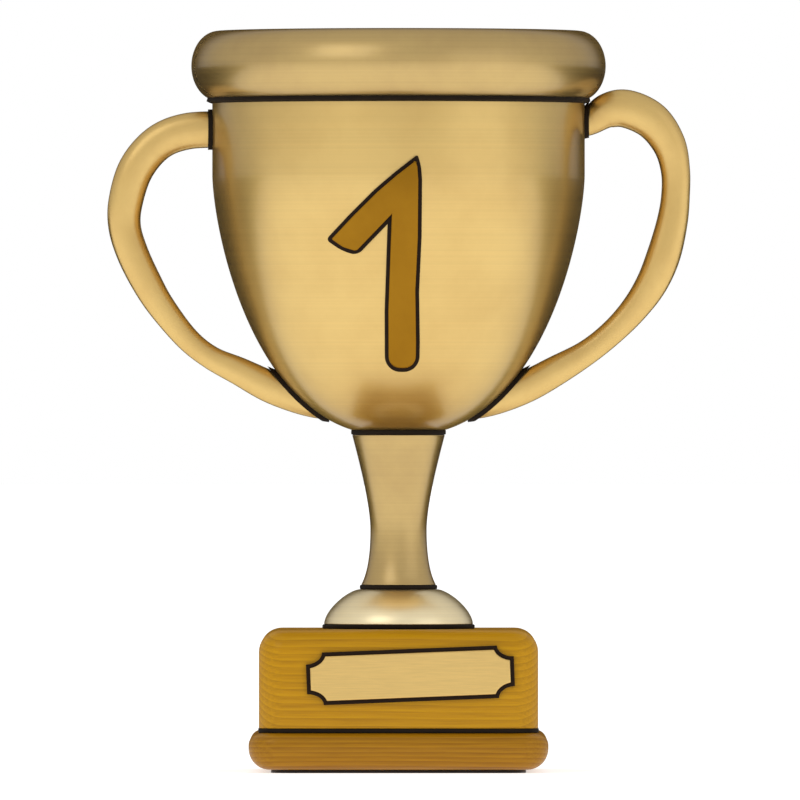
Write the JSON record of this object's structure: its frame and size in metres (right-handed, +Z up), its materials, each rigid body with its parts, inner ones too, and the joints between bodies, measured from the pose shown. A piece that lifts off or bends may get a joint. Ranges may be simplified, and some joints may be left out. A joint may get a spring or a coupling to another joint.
{
  "type": "cup trophy",
  "caption": "Two-handled cup trophy: round brass cup with a rolled rim and a numeral, on a waisted stem, a domed foot and a square wooden plinth with a name plate.",
  "frame": {"origin": "middle of the underside, on the floor", "axes": "+Z up along the axis of the cup, -Y out of the front with the numeral and the name plate, +X to the viewer's right"},
  "size_m": [0.2364, 0.1674, 0.2998],
  "materials": {
    "gold_lacquered_brass": "satin lacquered",
    "dark_lacquered_brass": "satin lacquered, a shade browner",
    "pale_lacquered_brass": "satin lacquered, pale",
    "polished_brass": "polished",
    "cast_bronze": "satin cast bronze",
    "zinc_plated_steel": "zinc plated",
    "honey_stained_wood": "satin varnish over honey stain",
    "brown_stained_wood": "satin varnish over brown stain",
    "black_fibre": "matte, black vulcanised fibre",
    "black_enamel": "black enamel on brass sheet",
    "black_foam_tape": "matte foam",
    "black_baize": "short felted pile"
  },
  "bodies": {
    "root": {"baize_pad": "black_baize", "base_slab": "brown_stained_wood", "bowl": "gold_lacquered_brass", "cup_clamp_washer": "zinc_plated_steel", "dome_foot": "pale_lacquered_brass", "dome_gasket": "black_fibre", "dome_support_bush": "zinc_plated_steel", "handle_gasket_left_lower": "black_fibre", "handle_gasket_left_upper": "black_fibre", "handle_gasket_right_lower": "black_fibre", "handle_gasket_right_upper": "black_fibre", "handle_left": "gold_lacquered_brass", "handle_right": "gold_lacquered_brass", "handle_screw_left_lower": "polished_brass", "handle_screw_left_upper": "polished_brass", "handle_screw_right_lower": "polished_brass", "handle_screw_right_upper": "polished_brass", "handle_washer_left_lower": "polished_brass", "handle_washer_left_upper": "polished_brass", "handle_washer_right_lower": "polished_brass", "handle_washer_right_upper": "polished_brass", "name_plate": "gold_lacquered_brass", "name_plate_border": "black_enamel", "name_plate_tape": "black_foam_tape", "numeral_backer": "black_enamel", "numeral_one": "cast_bronze", "numeral_push_nut_lower": "zinc_plated_steel", "numeral_push_nut_upper": "zinc_plated_steel", "plinth_block": "honey_stained_wood", "plinth_gasket": "black_fibre", "rim_gasket": "black_fibre", "rim_roll": "dark_lacquered_brass", "rod_cap_nut": "polished_brass", "rod_nut": "zinc_plated_steel", "rod_spring_washer": "zinc_plated_steel", "rod_washer": "zinc_plated_steel", "slab_screw_back_left": "zinc_plated_steel", "slab_screw_back_right": "zinc_plated_steel", "slab_screw_front_left": "zinc_plated_steel", "slab_screw_front_right": "zinc_plated_steel", "stem": "dark_lacquered_brass", "stem_bottom_gasket": "black_fibre", "stem_top_gasket": "black_fibre", "tie_rod": "zinc_plated_steel"}
  },
  "joints": []
}
